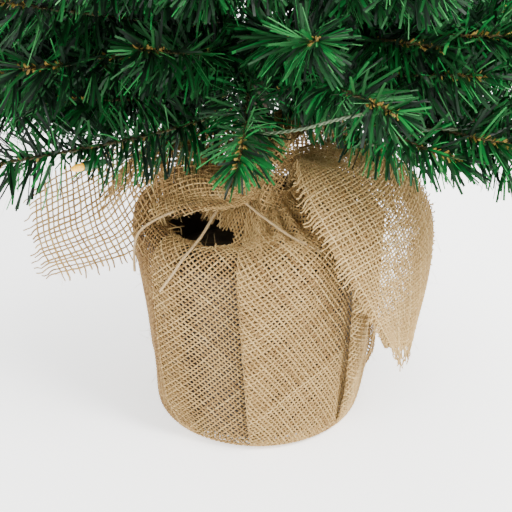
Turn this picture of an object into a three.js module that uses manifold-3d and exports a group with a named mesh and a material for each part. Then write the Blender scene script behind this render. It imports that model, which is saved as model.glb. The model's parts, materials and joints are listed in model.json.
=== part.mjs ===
// An artificial tabletop tree: a weighted pot wrapped in one square of burlap, a wire trunk with
// bendable brush-like branches, and a battery light string with a battery box behind the pot.
// Millimetres, +Z up. The origin is the centre of the sack's flat bottom, and the front is -Y.
import * as THREE from 'three';
import { mergeVertices } from 'three/addons/utils/BufferGeometryUtils.js';
import Module from 'manifold-3d';

const wasm = await Module();
wasm.setup();

// ---- driving dimensions ----
const GAP = 0.3;
const POT = { bottomRadius: 47.5, rimRadius: 57.5, bottom: 4.2, rim: 105, wall: 2 };
const SACK = { bottomRadius: 53, shoulderRadius: 61.5, floor: 3.8, neckOuter: 21.5, neckInner: 17.5, neckTop: 143 };
const CLOTH_THICKNESS = 3;
const BALLAST_TOP = 78;
const TRUNK = { radius: 4.5, top: 468, wrapRadius: 6, wrapBottom: 158, wrapTop: 462 };
const LEADER = { top: 600, radius: 12, wireRadius: 1.6 };
const ROOT_RADIUS = 2.2;
const ROOT_REACH = TRUNK.wrapRadius + GAP + ROOT_RADIUS;
const BRANCH = { wireRadius: 1.1, brushRadius: 9, brushStart: 16, taper: 0.085, sides: 8 };
const TIE = { height: 133, ringRadius: 23.2, twineRadius: 1.1 };
const KNOT = { place: [-15.5, -20, 132], radius: 3.4 };
const TWINE_DIAMETER = 1.4;
const STRING_DIAMETER = 1.8;
const LEAD_DIAMETER = 2.4;
const CORD_SIDES = 8;
const BOX = { length: 70, width: 52, height: 21, wall: 1.8, centreY: 112 };
const CELL = { radius: 7.1, length: 49, pitch: 15.2, centreZ: 9.3 };

// Each tier: the height that its roots are wound round, and for each branch its azimuth in degrees
// (0 is +X, -90 is the front), its length, its rise above level, and how far its root is lifted.
const TIERS = [
  { height: 178, branches: [
    [-148, 165, 2, -6], [-18, 165, -6, 7], [28, 165, -2, 0], [63, 168, -2, -6], [117, 168, -3, 4],
    [153, 168, -2, -4], [178, 170, 0, 4] ] },
  { height: 210, branches: [
    [-96, 92, -19, -3], [-78, 122, 18, 6], [-60, 120, 2, 0], [-36, 126, 11, -14], [-21, 150, 7, 3],
    [-124, 99, 18, -5], [-163, 165, 1, 0], [-146, 150, 17, 6], [10, 158, 5, -4], [45, 160, 3, 0],
    [137, 160, 3, 0], [165, 160, 4, 4] ] },
  { height: 256, branches: [
    [-135, 136, 10, -3], [-101, 130, 12, 3], [-48, 134, 10, -3], [-3, 134, 11, 3], [62, 136, 10, 0],
    [152, 138, 10, 0] ] },
  { height: 302, branches: [ [-115, 114, 18, 3], [-25, 112, 18, -3], [35, 114, 17, 3], [175, 112, 18, -3] ] },
  { height: 352, branches: [ [-75, 92, 28, 2], [55, 90, 29, -2], [135, 92, 28, 2] ] },
  { height: 404, branches: [ [-20, 72, 40, 2], [160, 70, 42, -2] ] },
];
// Lamps: the number of the branch that carries the lamp, its distance along it, and its angle
// around it in degrees (0 is on top, 90 on the side of falling azimuth, 180 underneath).
const LAMPS = [ [1, 84, 180], [3, 110, 20], [6, 108, 0], [19, 100, 30], [25, 84, 10], [29, 66, 0] ];
const LAMP = { lensRadius: 2.4, lensLength: 9, holderRadius: 2.9, holderLength: 12, leadRadius: 0.8 };

// ---- materials ----
const matte = (color, roughness) => new THREE.MeshStandardMaterial({ color, roughness, metalness: 0 });
const metal = (color, roughness) => new THREE.MeshStandardMaterial({ color, roughness, metalness: 1 });
const BURLAP = matte(0xb8935f, 0.95);
const JUTE_TWINE = matte(0xc7a878, 0.9);
const NEEDLES = matte(0x14552f, 0.45);
const BROWN_WRAP = matte(0x4a3420, 0.7);
const POT_PLASTIC = matte(0x3a2c20, 0.6);
const CEMENT = matte(0x9a968e, 0.95);
const BOX_PLASTIC = matte(0x1d3a26, 0.5);
const WIRE_PLASTIC = matte(0x7f9a72, 0.45);
const LENS = matte(0xf4e6b8, 0.1);
const CELL_JACKET = matte(0x2b4f7a, 0.35);
const STEEL = metal(0xc4c4c0, 0.3);

// ---- shape helpers ----
const group = new THREE.Group();

function addPart(name, geometry, material) {
  const mesh = new THREE.Mesh(geometry, material);
  mesh.name = name;
  group.add(mesh);
  return mesh;
}

// A solid of revolution about +Z from a list of [radius, height] points, rising.
function turned(profile, segments) {
  const points = profile.map(([radius, height]) => new THREE.Vector2(radius, height));
  const geometry = new THREE.LatheGeometry(points, segments);
  geometry.rotateX(Math.PI / 2);
  return geometry;
}

function toSolid(geometry) {
  const bare = geometry.clone();
  bare.deleteAttribute('normal');
  bare.deleteAttribute('uv');
  const merged = mergeVertices(bare.index ? bare : mergeVertices(bare), 1e-4);
  return new wasm.Manifold(new wasm.Mesh({
    numProp: 3,
    vertProperties: new Float32Array(merged.attributes.position.array),
    triVerts: new Uint32Array(merged.index.array),
  }));
}

function fromSolid(solid) {
  const mesh = solid.getMesh();
  const geometry = new THREE.BufferGeometry();
  geometry.setAttribute('position', new THREE.BufferAttribute(new Float32Array(mesh.vertProperties), 3));
  geometry.setIndex(new THREE.BufferAttribute(new Uint32Array(mesh.triVerts), 1));
  return geometry;
}

function joined(geometries) {
  return fromSolid(geometries.map(toSolid).reduce((all, next) => all.add(next)));
}

function cutBy(geometry, tools) {
  return fromSolid(tools.map(toSolid).reduce((rest, tool) => rest.subtract(tool), toSolid(geometry)));
}

function box(width, depth, height, x, y, z) {
  return new THREE.BoxGeometry(width, depth, height).translate(x, y, z);
}

function ring(outer, inner, low, high, segments) {
  return turned([[inner, low], [outer, low], [outer, high], [inner, high], [inner, low]], segments);
}

// A round tube along a smooth curve through hand-placed points.
function tube(route, diameter, steps) {
  const curve = new THREE.CatmullRomCurve3(route.map((point) => new THREE.Vector3(...point)));
  const section = new THREE.Shape();
  section.absarc(0, 0, diameter / 2, 0, 2 * Math.PI);
  const options = { steps, curveSegments: CORD_SIDES / 2, extrudePath: curve, bevelEnabled: false };
  return new THREE.ExtrudeGeometry(section, options);
}

// A sheet of cloth as a thin solid: three edges-to-edge routes are spanned by smooth cross curves.
function clothPanel(routes, thickness) {
  const along = 8;
  const across = 4;
  const curveThrough = (points) => new THREE.CatmullRomCurve3(points);
  const guides = routes.map((route) => curveThrough(route.map((point) => new THREE.Vector3(...point))));
  const grid = [];
  for (let i = 0; i <= along; i += 1) {
    const cross = curveThrough(guides.map((guide) => guide.getPoint(i / along)));
    grid.push(Array.from({ length: across + 1 }, (_, j) => cross.getPoint(j / across)));
  }
  const positions = [];
  for (const side of [0.5, -0.5]) {
    for (let i = 0; i <= along; i += 1) {
      for (let j = 0; j <= across; j += 1) {
        const down = grid[Math.min(i + 1, along)][j].clone().sub(grid[Math.max(i - 1, 0)][j]);
        const over = grid[i][Math.min(j + 1, across)].clone().sub(grid[i][Math.max(j - 1, 0)]);
        const normal = down.cross(over).normalize();
        positions.push(...grid[i][j].clone().addScaledVector(normal, side * thickness).toArray());
      }
    }
  }
  const width = across + 1;
  const sheet = (along + 1) * width;
  const indices = [];
  const quad = (a, b, c, d) => indices.push(a, b, c, a, c, d);
  for (let i = 0; i < along; i += 1) {
    for (let j = 0; j < across; j += 1) {
      const a = i * width + j;
      quad(a, a + width, a + width + 1, a + 1);
      quad(sheet + a, sheet + a + 1, sheet + a + width + 1, sheet + a + width);
    }
  }
  const rim = [];
  for (let j = 0; j < across; j += 1) rim.push(j);
  for (let i = 0; i < along; i += 1) rim.push(i * width + across);
  for (let j = across; j > 0; j -= 1) rim.push(along * width + j);
  for (let i = along; i > 0; i -= 1) rim.push(i * width);
  rim.forEach((from, k) => {
    const to = rim[(k + 1) % rim.length];
    quad(from, to, sheet + to, sheet + from);
  });
  const geometry = new THREE.BufferGeometry();
  geometry.setAttribute('position', new THREE.Float32BufferAttribute(positions, 3));
  geometry.setIndex(indices);
  return geometry;
}

// ---- pot and sack ----
function addPot() {
  const { bottomRadius, rimRadius, bottom, rim, wall } = POT;
  addPart('pot_liner', turned([
    [0, bottom], [bottomRadius, bottom], [rimRadius - 0.6, rim - 6], [rimRadius + 0.8, rim - 6], [rimRadius + 0.8, rim],
    [rimRadius - wall, rim], [bottomRadius - wall, bottom + wall], [0, bottom + wall],
  ], 32), POT_PLASTIC);
  const slope = (rimRadius - bottomRadius) / (rim - bottom);
  const floor = bottom + wall + GAP;
  const fillRadius = (height) => bottomRadius - wall - 2 * GAP + slope * (height - bottom);
  const hole = TRUNK.radius + GAP;
  addPart('ballast_block', turned([
    [hole, floor], [fillRadius(floor), floor], [fillRadius(BALLAST_TOP), BALLAST_TOP], [hole, BALLAST_TOP + 2],
    [hole, floor],
  ], 24), CEMENT);
}

function sackShell() {
  const { bottomRadius, shoulderRadius, floor, neckOuter, neckInner, neckTop } = SACK;
  return turned([
    [0, 0], [bottomRadius - 6, 0], [bottomRadius - 1.5, 2], [bottomRadius, 6.5],
    [shoulderRadius, 100], [shoulderRadius, 108], [shoulderRadius - 3, 114], [shoulderRadius - 12, 119],
    [neckOuter + 12, 124], [neckOuter, 128], [neckOuter, neckTop], [neckInner, neckTop], [neckInner, 124],
    [neckInner + 12, 120], [shoulderRadius - 13, 115], [shoulderRadius - 2.2, 108],
    [shoulderRadius - 2.2, POT.rim - 8], [POT.rimRadius + 0.4, POT.rim - 11], [POT.bottomRadius + 1.2, floor],
    [0, floor],
  ], 36);
}

// The four corners of the burlap square, each from the tied neck out and down to its fringed edges.
const CORNERS = {
  left: [
    [[-14, -13, 141], [-36, -22, 139], [-57, -24, 125], [-69, -29, 102]],
    [[-19, -2, 142], [-50, -14, 148], [-82, -26, 124], [-106, -32, 90]],
    [[-18, 6, 141], [-44, 4, 152], [-76, -8, 150], [-108, -22, 137]],
  ],
  right: [
    [[17, 9, 141], [50, 20, 146], [80, 14, 120], [86, 4, 78]],
    [[19, -3, 142], [48, -12, 150], [80, -20, 112], [79, -20, 56]],
    [[14, -13, 141], [26, -36, 140], [45, -58, 102], [66, -40, 62]],
  ],
  backRight: [
    [[0, 19, 141], [6, 44, 146], [10, 70, 124], [12, 80, 100]],
    [[6, 18, 142], [22, 44, 150], [42, 66, 128], [50, 78, 98]],
    [[13, 14, 141], [36, 28, 150], [62, 36, 128], [78, 36, 100]],
  ],
  backLeft: [
    [[-17, 8, 141], [-42, 16, 148], [-66, 24, 128], [-80, 30, 104]],
    [[-12, 15, 142], [-32, 38, 150], [-52, 56, 124], [-62, 66, 94]],
    [[-4, 19, 141], [-12, 44, 148], [-22, 66, 122], [-28, 76, 96]],
  ],
};

function addBurlap() {
  const corners = Object.values(CORNERS).map((routes) => clothPanel(routes, CLOTH_THICKNESS));
  addPart('burlap_wrap', joined([sackShell(), ...corners]), BURLAP);
}

function addTie() {
  const loop = new THREE.TorusGeometry(TIE.ringRadius, TIE.twineRadius, 6, 28).translate(0, 0, TIE.height);
  const knot = new THREE.SphereGeometry(KNOT.radius, 10, 8).translate(...KNOT.place);
  const neck = turned([
    [0, TIE.height - 9], [SACK.neckOuter + GAP, TIE.height - 9],
    [SACK.neckOuter + GAP, TIE.height + 9], [0, TIE.height + 9],
  ], 30);
  addPart('twine_tie', cutBy(joined([loop, knot]), [neck]), JUTE_TWINE);
}

// The free ends of the tie, each starting just clear of the knot.
const TWINE_ENDS = {
  twine_end_left: [
    [-18.6, -22.4, 133], [-24, -25.5, 133.4], [-31, -28.5, 132], [-39, -31, 129.5], [-47, -32.5, 126.5],
    [-54, -33, 122.5], [-59, -32, 117], [-61.2, -31, 110], [-62, -30, 102], [-62, -30, 94],
  ],
  twine_end_front: [
    [-17.5, -24.2, 130.5], [-20, -29, 128.6], [-23, -35, 125.6], [-27, -42, 121.5], [-32, -48, 117.2],
    [-37, -52, 112.5], [-41, -52.5, 106], [-45, -50.5, 99], [-48.5, -47, 92],
  ],
  twine_end_right: [
    [-12.3, -23.4, 132.6], [-7, -27.5, 131.8], [0, -34, 129], [8, -40.5, 125.6], [16, -45.5, 122],
    [24, -48.5, 118.8], [31, -50, 116],
  ],
};

function addTwineEnds() {
  for (const [name, route] of Object.entries(TWINE_ENDS)) {
    addPart(name, tube(route, TWINE_DIAMETER, 24), JUTE_TWINE);
  }
}

// ---- trunk, branches and lamps ----
function addTrunk() {
  const foot = POT.bottom + POT.wall + GAP;
  addPart('trunk_pole', turned([[0, foot], [TRUNK.radius, foot], [TRUNK.radius, TRUNK.top], [0, TRUNK.top]], 14),
    BROWN_WRAP);
  addPart('trunk_wrap', ring(TRUNK.wrapRadius, TRUNK.radius + GAP, TRUNK.wrapBottom, TRUNK.wrapTop, 14), BROWN_WRAP);
  const start = TRUNK.top + GAP;
  addPart('leader_shoot', turned([
    [0, start], [TRUNK.radius, start], [TRUNK.radius, start + 3], [LEADER.wireRadius, start + 6],
    [LEADER.wireRadius, start + 12], [LEADER.radius * 0.6, start + 22], [LEADER.radius, start + 50],
    [LEADER.radius * 0.9, LEADER.top - 40], [LEADER.radius * 0.5, LEADER.top - 10], [0, LEADER.top],
  ], 12), NEEDLES);
}

function brushRadius(distance, length) {
  const tip = (length - distance) * 0.4;
  return Math.min(BRANCH.brushRadius, BRANCH.taper * distance, Math.max(tip, 0));
}

function branchShape(length) {
  const stops = [0.3, 0.55, 0.8, 0.92].map((share) => share * length);
  const brush = stops.map((distance) => [brushRadius(distance, length), distance]);
  return turned([
    [0, -ROOT_RADIUS], [1.6, -1.5], [ROOT_RADIUS, 0], [1.6, 1.5], [BRANCH.wireRadius, 2.6],
    [BRANCH.wireRadius, BRANCH.brushStart - 3], [BRANCH.taper * BRANCH.brushStart, BRANCH.brushStart],
    ...brush, [0, length],
  ], BRANCH.sides);
}

// A lamp in its own frame beside a branch along +Z: two thin leads, a holder and a lens.
function lampShape(distance) {
  const shell = BRANCH.brushRadius + LAMP.holderRadius + GAP;
  const start = BRANCH.brushStart;
  const near = BRANCH.taper * start + LAMP.leadRadius + 0.8;
  const lead = tube([
    [near, 0, start], [near + 3.2, 0, start + 20], [shell - 1, 0, distance - 24], [shell, 0, distance - 8],
  ], 2 * LAMP.leadRadius, 14);
  const holder = turned([
    [0, distance - 10], [LAMP.leadRadius + 0.6, distance - 10], [LAMP.holderRadius, distance - 6],
    [LAMP.holderRadius, distance + LAMP.holderLength - 10], [LAMP.lensRadius, distance + LAMP.holderLength - 10],
    [LAMP.lensRadius, distance + LAMP.holderLength - 10 + LAMP.lensLength - 2],
    [0, distance + LAMP.holderLength - 10 + LAMP.lensLength],
  ], 10).translate(shell, 0, 0);
  return joined([lead, holder]);
}

// Turns a shape built along +Z (its own top towards +X) to lie along a branch at its root.
function atRoot(azimuth, height, rise) {
  const holder = new THREE.Group();
  holder.position.set(ROOT_REACH * Math.cos(azimuth), ROOT_REACH * Math.sin(azimuth), height);
  const outward = new THREE.Vector3(
    Math.cos(azimuth) * Math.cos(rise), Math.sin(azimuth) * Math.cos(rise), Math.sin(rise));
  const sideways = new THREE.Vector3(Math.sin(azimuth), -Math.cos(azimuth), 0);
  const upward = new THREE.Vector3().crossVectors(sideways, outward);
  holder.setRotationFromMatrix(new THREE.Matrix4().makeBasis(upward, sideways, outward));
  return holder;
}

const twoDigits = (number) => String(number).padStart(2, '0');

function addBranches() {
  const radians = THREE.MathUtils.degToRad;
  let number = 0;
  for (const tier of TIERS) {
    for (const [azimuth, length, rise, lift] of tier.branches) {
      number += 1;
      const holder = atRoot(radians(azimuth), tier.height + lift, radians(rise));
      const branch = new THREE.Mesh(branchShape(length), NEEDLES);
      branch.name = `branch_${twoDigits(number)}`;
      holder.add(branch);
      const lamp = LAMPS.find(([carrier]) => carrier === number);
      if (lamp) {
        const mesh = new THREE.Mesh(lampShape(lamp[1]), LENS);
        mesh.name = `lamp_${twoDigits(number)}`;
        mesh.rotation.z = radians(lamp[2]);
        holder.add(mesh);
      }
      group.add(holder);
    }
  }
}

// ---- light string, lead and battery box ----
// The string climbs the back of the trunk, in the lane that the branch roots leave free.
const STRING_ROUTE = [
  [0, 12.5, 141], [-1.5, 11, 150], [0, 8.6, 162], [0.8, 8.2, 185], [-0.8, 8.2, 225], [0.8, 8.2, 268],
  [-0.8, 8.2, 312], [0.8, 8.2, 360], [-0.6, 8.2, 408], [0, 8.2, 440],
];
// The lead leaves the neck at the back, runs down over the sack and loops once into the box.
const LEAD_ROUTE = [
  [-2, 19, 153.5], [-3, 27, 156], [-5, 46, 154], [-7, 68, 142],
  [-8, 79, 120], [-8, 82, 96], [-8, 80, 70], [-8, 77, 44], [-9, 75, 20], [-14, 75, 7], [-24, 76.5, 2.4],
  [-32, 79.5, 2.2], [-38, 84, 2.2], [-42, 92, 2.2], [-43.5, 102, 2.6], [-41.5, 110, 6], [-36.2, 112, 8],
];

function addString() {
  addPart('light_string', tube(STRING_ROUTE, STRING_DIAMETER, 60), WIRE_PLASTIC);
  addPart('light_lead', tube(LEAD_ROUTE, LEAD_DIAMETER, 64), WIRE_PLASTIC);
}

function addBatteryBox() {
  const { length, width, height, wall, centreY } = BOX;
  const lid = 2;
  const caseTop = height - lid;
  const outer = box(length, width, caseTop, 0, centreY, caseTop / 2);
  const hollow = box(length - 2 * wall, width - 2 * wall, caseTop, 0, centreY, caseTop / 2 + wall);
  const slotX = 18;
  const slot = box(11, wall + 2, 4.4, slotX, centreY + width / 2, 12);
  const entry = new THREE.CylinderGeometry(1.5, 1.5, 8, 10).rotateZ(Math.PI / 2).translate(-length / 2, centreY, 8);
  addPart('battery_case', cutBy(outer, [hollow, slot, entry]), BOX_PLASTIC);

  const plate = box(length, width, lid - GAP, 0, centreY, caseTop + GAP + (lid - GAP) / 2);
  const grips = [-6, -3, 0, 3, 6].map((shift) => box(1.2, 16, 1, length / 2 - 12 + shift, centreY, height));
  addPart('battery_cover', cutBy(plate, grips), BOX_PLASTIC);

  const knob = box(5, wall + 1.6, 3.6, slotX - 2.6, centreY + width / 2 - wall / 2 + 0.4, 12);
  const foot = box(7, 1.2, 6.4, slotX - 2.6, centreY + width / 2 - wall - GAP - 0.6, 12);
  addPart('switch_slider', joined([knob, foot]), matte(0x111111, 0.5));

  for (const place of [-1, 0, 1]) {
    const cell = turned([
      [0, 0], [CELL.radius, 0], [CELL.radius, CELL.length], [2.7, CELL.length], [2.7, CELL.length + 1],
      [0, CELL.length + 1],
    ], 18);
    cell.rotateY(place === 0 ? -Math.PI / 2 : Math.PI / 2);
    cell.translate(place === 0 ? CELL.length / 2 : -CELL.length / 2, centreY - 1.5 + place * CELL.pitch, CELL.centreZ);
    addPart(`battery_cell_${place + 2}`, cell, CELL_JACKET);
  }
  for (const [side, name] of [[-1, 'contact_plate_left'], [1, 'contact_plate_right']]) {
    const place = side * (CELL.length / 2 + 1 + GAP + 0.4);
    addPart(name, box(0.8, width - 2 * wall - 8, 13, place, centreY - 1.5, CELL.centreZ), STEEL);
  }
}

addPot();
addBurlap();
addTie();
addTwineEnds();
addTrunk();
addBranches();
addString();
addBatteryBox();

export default group;
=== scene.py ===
# An artificial tabletop tree: burlap woven from single threads, branches of flat film needles on
# twisted wire, a light string and its battery box. Metres, +Z up, front towards -Y.
import json
import math

import bpy
import numpy as np
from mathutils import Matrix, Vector


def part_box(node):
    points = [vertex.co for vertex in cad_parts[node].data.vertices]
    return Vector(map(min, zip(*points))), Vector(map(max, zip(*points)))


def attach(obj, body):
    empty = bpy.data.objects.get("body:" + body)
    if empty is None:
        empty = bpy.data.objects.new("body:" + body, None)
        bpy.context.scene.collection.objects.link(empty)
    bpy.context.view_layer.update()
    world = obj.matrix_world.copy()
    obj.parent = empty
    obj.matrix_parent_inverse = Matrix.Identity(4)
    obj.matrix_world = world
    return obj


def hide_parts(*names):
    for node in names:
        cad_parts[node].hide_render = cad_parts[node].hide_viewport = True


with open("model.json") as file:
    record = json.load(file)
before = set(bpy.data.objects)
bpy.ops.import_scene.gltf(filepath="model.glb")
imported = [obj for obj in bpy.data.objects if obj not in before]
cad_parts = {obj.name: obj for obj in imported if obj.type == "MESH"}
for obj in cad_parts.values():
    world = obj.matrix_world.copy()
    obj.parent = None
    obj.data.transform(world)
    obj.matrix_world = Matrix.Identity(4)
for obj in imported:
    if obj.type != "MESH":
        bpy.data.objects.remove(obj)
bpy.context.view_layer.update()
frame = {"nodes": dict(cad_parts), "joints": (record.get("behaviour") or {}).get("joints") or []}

MM = 0.001
RNG = np.random.default_rng(7)

# ---- camera ----
CAMERA_ELEVATION = math.radians(29)
CAMERA_DISTANCE = 0.9
CAMERA_TARGET = Vector((-0.001, 0, 0.086))
CAMERA_LENS = 121.7

# ---- studio ----
FLOOR_SIZE = 40
FLOOR_GLOW = 1.3
SKY_STRENGTH = 1.5
LIGHTS_AIM = Vector((0, 0, 0.12))
# Each soft light: name, place, disc diameter, power and colour.
SOFT_LIGHTS = [
    ("key", (0.95, -0.8, 1.5), 0.7, 74, (1, 0.99, 0.97)),
    ("fill", (-1.3, -0.8, 0.9), 1.3, 22, (0.97, 0.98, 1)),
    ("top", (0.2, 0.5, 1.7), 1.2, 34, (1, 1, 1)),
]

# ---- cloth ----
# Thread spacing in the wall and in the looser corners, the size of a thread, and how far a thread
# rises and falls as it passes over and under the others.
PITCH = 2.1 * MM
OPEN_PITCH = 2.9 * MM
THREAD_HALF_WIDTH = 0.45 * MM
THREAD_HALF_DEPTH = 0.32 * MM
WEAVE_DEPTH = 0.34 * MM
# One square of cloth wraps the pot. Its wall is made in these quarters, each of two strips.
WALL_PIECES = ["front_left", "front_right", "back_right", "back_left"]
# The sack's outline from under the pot, up the wall, over the shoulder and into the tie, as
# (radius, height) in millimetres.
SACK_OUTLINE = [
    (44, 0.9), (49, 1.2), (52.5, 3.5), (54, 8), (55.3, 20), (57.6, 50), (60, 80), (61.6, 100), (61.4, 108),
    (58.5, 115), (51, 120), (41, 123), (31, 126), (24, 129.5), (21, 133),
]
# Fold lines up the wall: azimuth at the bottom and at the top, how far the threads of the cloth
# between this fold and the next one are turned from upright (all in degrees), how far in
# millimetres that cloth runs on under the next fold, and the painted light (above zero) or painted
# shade (below zero) on that cloth: the last strip, recessed under the front left fold, is painted
# dark as its shade, and the strip under the right corner is painted lighter against its shadow.
FOLDS = [
    (-138, -141, 44, 50, -0.04), (-92, -100, -30, 12, 0.02), (-38, -44, 34, 10, 0.2), (8, 4, 5, 10, 0.0),
    (50, 46, 48, 10, 0.0), (92, 95, 0, 10, 0.04), (124, 121, 40, 10, 0.0), (157, 159, 8, 10, -0.34),
]
# A fold of the wall: the radius of its rolled edge, the cloth tucked behind it, how high it stands
# and how far it takes to die away.
FOLD_ROLL = 1.7 * MM
FOLD_TUCK = 11 * MM
FOLD_CREST = 5.6 * MM
FOLD_REACH = 15 * MM
WALL_RADIUS = 58 * MM
BASE_RADIUS = 46 * MM
# The front left of the shoulder sinks into the pot: azimuth and its half-width in degrees, the
# distance from the trunk and its half-width, and the depth. The cloth gapes open at its middle.
HOLLOW = {"azimuth": -142, "spread": 44, "radius": 41, "reach": 10, "depth": 15}
HOLLOW_GAPES_ABOVE = 0.55
# Loose cloth above the tie: three lines each, from the neck to the fringed edge, in millimetres.
CORNERS = {
    "left": [
        [(-14, -12, 131), (-15, -13, 141), (-36, -21, 133), (-58, -26, 105), (-80, -30, 97), (-101, -32, 93)],
        [(-19, -3, 131), (-20, -2, 142), (-50, -14, 149), (-80, -24, 124), (-109, -30, 112)],
        [(-17, 7, 131), (-19, 6, 142), (-44, 4, 153), (-76, -8, 151), (-110, -22, 138)],
    ],
    "right": [
        [(15, -16, 131), (20, -18, 148), (20, -31, 148), (25, -47, 138), (35, -58, 125), (45, -62, 108),
         (55, -59, 88), (68, -47, 60)],
        [(19, -4, 131), (22, -6, 146), (45, -17, 151), (66, -30, 134), (76, -34, 108), (79, -32, 80),
         (76, -36, 54)],
        [(17, 9, 131), (18, 9, 142), (48, 14, 149), (74, 8, 137), (88, 1, 114), (88, -7, 86), (81, -18, 62)],
    ],
    "back_right": [
        [(14, 14, 131), (14, 15, 142), (36, 28, 151), (62, 36, 129), (78, 36, 99)],
        [(6, 18, 131), (6, 19, 143), (22, 44, 151), (42, 66, 129), (50, 78, 98)],
        [(0, 19, 131), (0, 20, 142), (6, 44, 147), (10, 70, 125), (12, 80, 99)],
    ],
    "back_left": [
        [(-4, 19, 131), (-4, 20, 142), (-12, 44, 149), (-22, 66, 123), (-28, 76, 96)],
        [(-12, 15, 131), (-12, 16, 143), (-32, 38, 151), (-52, 56, 125), (-62, 66, 94)],
        [(-17, 8, 131), (-17, 9, 142), (-42, 16, 149), (-66, 24, 129), (-80, 30, 104)],
    ],
}
# How far the corner threads run past the neck, the outer edge and both sides, and the share of it
# that a trimmed corner has. Corners where the cloth lies double, with the share of their length
# that does, and the painted light or shade of a corner against the wall: the backlit left corner
# is painted darker as shade, and the right corner is painted lighter as light.
CORNER_FRINGE = np.array([0, 15, 9, 9]) * MM
FRINGE_SHARES = {"left": 0.55}
LINING_GAP = 3 * MM
LINED = {"left": 0.42, "right": 1.0, "back_right": 1.0}
CORNER_PAINTED_LIGHT = {"left": -0.12, "right": 0.24}
# Gathered cloth at the front of the neck, and the rolled front edge of the right corner, as three
# lines each, in millimetres.
GATHERS = {
    "collar": [
        [(-52, -27, 124), (-34, -32, 129), (-14, -28.5, 130), (0, -27, 135), (7, -21, 146)],
        [(-52, -18, 133), (-33, -27, 137), (-14, -28, 134), (-3, -26, 140), (5, -19, 151)],
        [(-49, -7, 139), (-30, -16, 145), (-13, -25, 138), (-6, -22, 145), (2, -14, 154)],
    ],
    "curl": [
        [(-1, -24, 124), (1, -21, 138), (6, -14, 151), (14, -4, 158)],
        [(3, -32, 124), (4, -31, 137), (8, -25, 151), (16, -14, 160)],
        [(9, -27, 124), (10, -25, 136), (14, -20, 147), (22, -13, 153)],
    ],
}
# Frayed threads at the opening: how many, and how far from the trunk they start, in millimetres.
FRAYED_THREADS = 34
FRAYED_RADII = [27, 53]

# ---- cords ----
# Routes in millimetres, from where a cord comes out of the knot or the neck to its end.
TWINE_DIAMETER = 1.4 * MM
LEAD_DIAMETER = 2.4 * MM
TWINE_ENDS = {
    "twine_end_left": [
        (-18.6, -22.4, 133), (-24, -25.5, 133.4), (-31, -28.5, 132), (-39, -31, 129.5), (-47, -32.5, 126.5),
        (-54, -33, 122.5), (-59, -32, 117), (-61.2, -31, 110), (-62, -30, 102), (-62, -30, 94),
    ],
    "twine_end_front": [
        (-17.5, -24.2, 130.5), (-20, -29, 128.6), (-23, -35, 125.6), (-27, -42, 121.5), (-32, -48, 117.2),
        (-37, -52, 112.5), (-41, -52.5, 106), (-45, -50.5, 99), (-48.5, -47, 92),
    ],
    "twine_end_right": [
        (-12.3, -23.4, 132.6), (-7, -27.5, 131.8), (0, -34, 129), (8, -40.5, 125.6), (16, -45.5, 122),
        (24, -48.5, 118.8), (31, -50, 116),
    ],
}
LEAD_ROUTE = [
    (-2, 19, 153.5), (-3, 27, 156), (-5, 46, 154), (-7, 68, 142), (-8, 79, 120), (-8, 82, 96), (-8, 80, 70),
    (-8, 77, 44), (-9, 75, 20), (-14, 75, 7), (-24, 76.5, 2.4), (-32, 79.5, 2.2), (-38, 84, 2.2),
    (-42, 92, 2.2), (-43.5, 102, 2.6), (-41.5, 110, 6), (-36.2, 112, 8),
]

# ---- needles ----
# THIN_SHARE of the needles are narrow, with a lighter grey-green that is a painted reflection of the
# film's gloss. The brown flakes crowd the last part of a stem.
NEEDLE_LENGTH = 24 * MM
NEEDLE_WIDTH = 1.35 * MM
NEEDLES_PER_MM = 4.2
THIN_SHARE = 0.14
WIRE_RADIUS = 0.55 * MM
FLAKED_TIP = 24 * MM
FLAKE_STEP = 0.6 * MM
# Side shoots: where the first and the last leave the stem and the longest, as shares of the stem,
# and how far they reach.
FIRST_SIDE_SHOOT = 0.16
LAST_SIDE_SHOOT = 0.7
LONGEST_SIDE_SHOOT = 0.62
SIDE_SHOOT_REACH = 66 * MM

# ---- tie and lamps ----
# Lamp profiles list (distance along the axis, radius) in millimetres. Needles keep clear of a lamp.
TIE_HEIGHT = 133 * MM
TIE_RADIUS = 23.2 * MM
KNOT_PLACE = np.array([-15.5, -21, 132]) * MM
LAMP_HOLDER = [(0, 1.2), (1.5, 1.5), (5, 2.3), (12, 2.4), (12.4, 2.1)]
LAMP_LENS = [(12, 1.7), (13, 1.9), (15.6, 1.9), (17.4, 1.4), (18.3, 0.7), (18.6, 0)]
LAMP_CORE = [(12.2, 0.8), (15, 0.8), (16.2, 0)]
LAMP_CLEARANCE = 10 * MM
# The leader's side shoots, and the turn in radians from one to the next.
LEADER_SHOOTS = 14
GOLDEN_TURN = 2.4
# Bare runs of the light string between lamps, and the branch that each one hangs on.
STRING_RUNS = {
    "branch_10": [(-12, -46, 181), (-1, -60, 184), (19, -75, 193), (36, -90, 205), (46, -94, 209)],
    "branch_02": [(52, -42, 170), (60, -48, 173), (79, -56, 184), (92, -60, 186)],
}


# ======================================================================= camera, floor and lights
def add_camera():
    """A long lens that looks down at the foot of the tree."""
    camera = bpy.data.objects.new("camera", bpy.data.cameras.new("camera"))
    bpy.context.scene.collection.objects.link(camera)
    back = Vector((0, -math.cos(CAMERA_ELEVATION), math.sin(CAMERA_ELEVATION)))
    camera.location = CAMERA_TARGET + back * CAMERA_DISTANCE
    camera.rotation_mode = "QUATERNION"
    camera.rotation_quaternion = (-back).to_track_quat("-Z", "Y")
    camera.data.lens = CAMERA_LENS
    camera.data.clip_start = 0.05
    bpy.context.scene.camera = camera


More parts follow.
